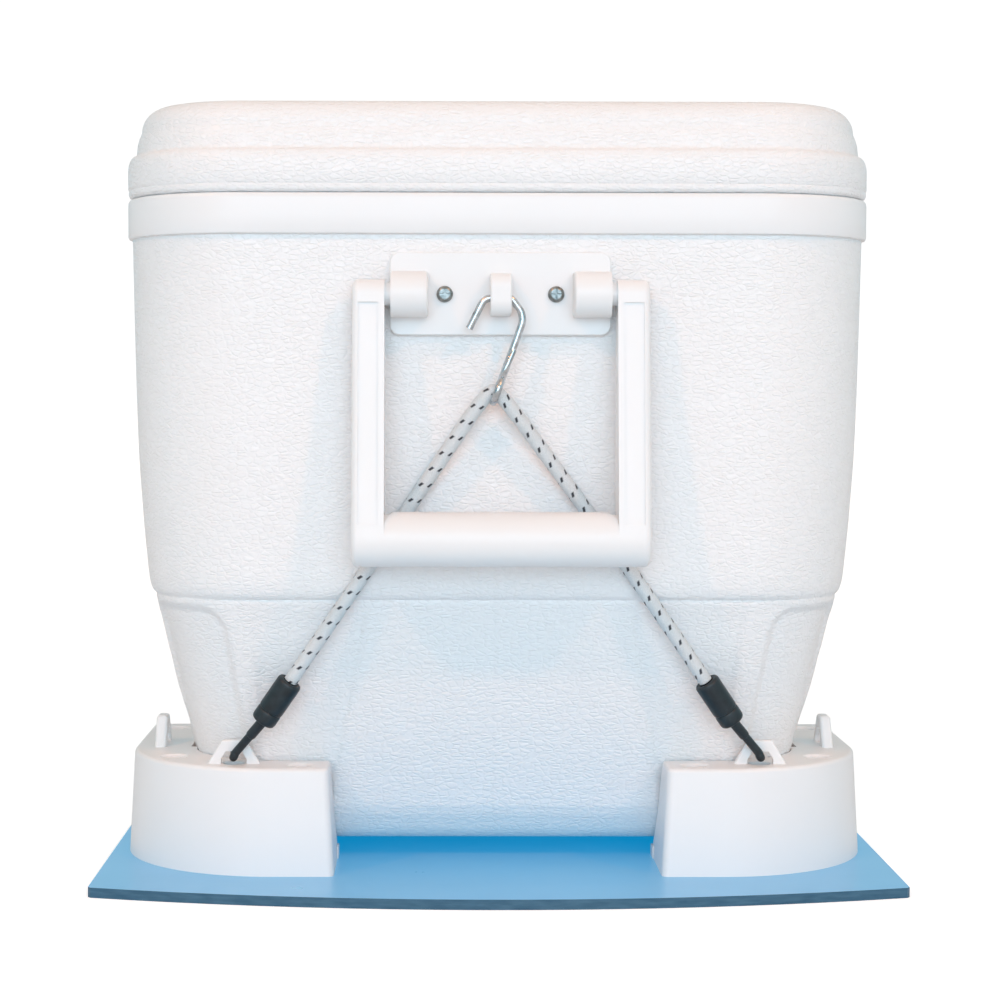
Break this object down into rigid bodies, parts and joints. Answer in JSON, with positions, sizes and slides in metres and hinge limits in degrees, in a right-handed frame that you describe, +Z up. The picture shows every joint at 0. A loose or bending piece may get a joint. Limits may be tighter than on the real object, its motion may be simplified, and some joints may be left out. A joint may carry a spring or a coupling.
{
  "type": "ice chest cooler",
  "caption": "Hard-sided ice chest with a hinged lid, swinging bail handles and a drain, strapped to a base plate by corner chocks and hooked shock cords.",
  "frame": {"origin": "centre of the base plate's underside", "axes": "+Z up, +Y along the chest's length towards the drain end, +X towards the lid's hinges; the front end faces -Y"},
  "size_m": [0.4, 0.7218, 0.388],
  "materials": {
    "grained_plastic": "satin, with a leather grain",
    "smooth_plastic": "smooth moulded satin",
    "liner_plastic": "smooth gloss",
    "foam": "closed-cell foam",
    "bright_steel": "bright zinc plate",
    "black_fitting": "satin",
    "braided_cord": "woven sheath with dark flecks",
    "rubber": "matte",
    "blue_panel": "polished sheet"
  },
  "bodies": {
    "chest": {"base_plate": "blue_panel", "outer_shell": "grained_plastic", "insulation_foam": "foam", "inner_liner": "liner_plastic", "rim_collar": "smooth_plastic", "chock_front_left": "smooth_plastic", "chock_front_right": "smooth_plastic", "chock_rear_left": "smooth_plastic", "chock_rear_right": "smooth_plastic", "chock_screws": "bright_steel", "chock_caps": "smooth_plastic", "handle_bracket_front": "smooth_plastic", "handle_bracket_rear": "smooth_plastic", "bracket_screws_front": "bright_steel", "bracket_screws_rear": "bright_steel", "s_hook_front": "bright_steel", "s_hook_rear": "bright_steel", "shock_cord_front": "braided_cord", "shock_cord_rear": "braided_cord", "cord_ferrule_front_left": "black_fitting", "cord_ferrule_front_right": "black_fitting", "cord_ferrule_rear_left": "black_fitting", "cord_ferrule_rear_right": "black_fitting", "cord_hook_front_left": "black_fitting", "cord_hook_front_right": "black_fitting", "cord_hook_rear_left": "black_fitting", "cord_hook_rear_right": "black_fitting", "drain_fitting": "smooth_plastic", "drain_gasket": "rubber", "drain_nut": "smooth_plastic", "hinge_rim_leaf_front": "smooth_plastic", "hinge_rim_leaf_rear": "smooth_plastic", "hinge_rim_screws": "bright_steel", "hinge_pin_front": "bright_steel", "hinge_pin_rear": "bright_steel"},
    "lid": {"lid_shell": "grained_plastic", "lid_foam": "foam", "lid_liner": "liner_plastic", "hinge_lid_leaf_front": "smooth_plastic", "hinge_lid_leaf_rear": "smooth_plastic", "hinge_lid_screws": "bright_steel"},
    "front_bail": {"handle_front": "smooth_plastic"},
    "rear_bail": {"handle_rear": "smooth_plastic"},
    "drain_stopper": {"drain_plug": "smooth_plastic"}
  },
  "joints": [
    {"name": "lid_hinge", "type": "hinge", "parent": "chest", "child": "lid", "pos_m": [0.1913, 0, 0.3424], "axis": [0, 1, 0], "range_deg": [0, 100]},
    {"name": "front_handle_swing", "type": "hinge", "parent": "chest", "child": "front_bail", "pos_m": [0, -0.332, 0.2925], "axis": [-1, 0, 0], "range_deg": [0, 110]},
    {"name": "rear_handle_swing", "type": "hinge", "parent": "chest", "child": "rear_bail", "pos_m": [0, 0.332, 0.2925], "axis": [1, 0, 0], "range_deg": [0, 110]},
    {"name": "drain_plug_pull", "type": "slide", "parent": "chest", "child": "drain_stopper", "axis": [0, 1, 0], "range_m": [0, 0.022]}
  ]
}
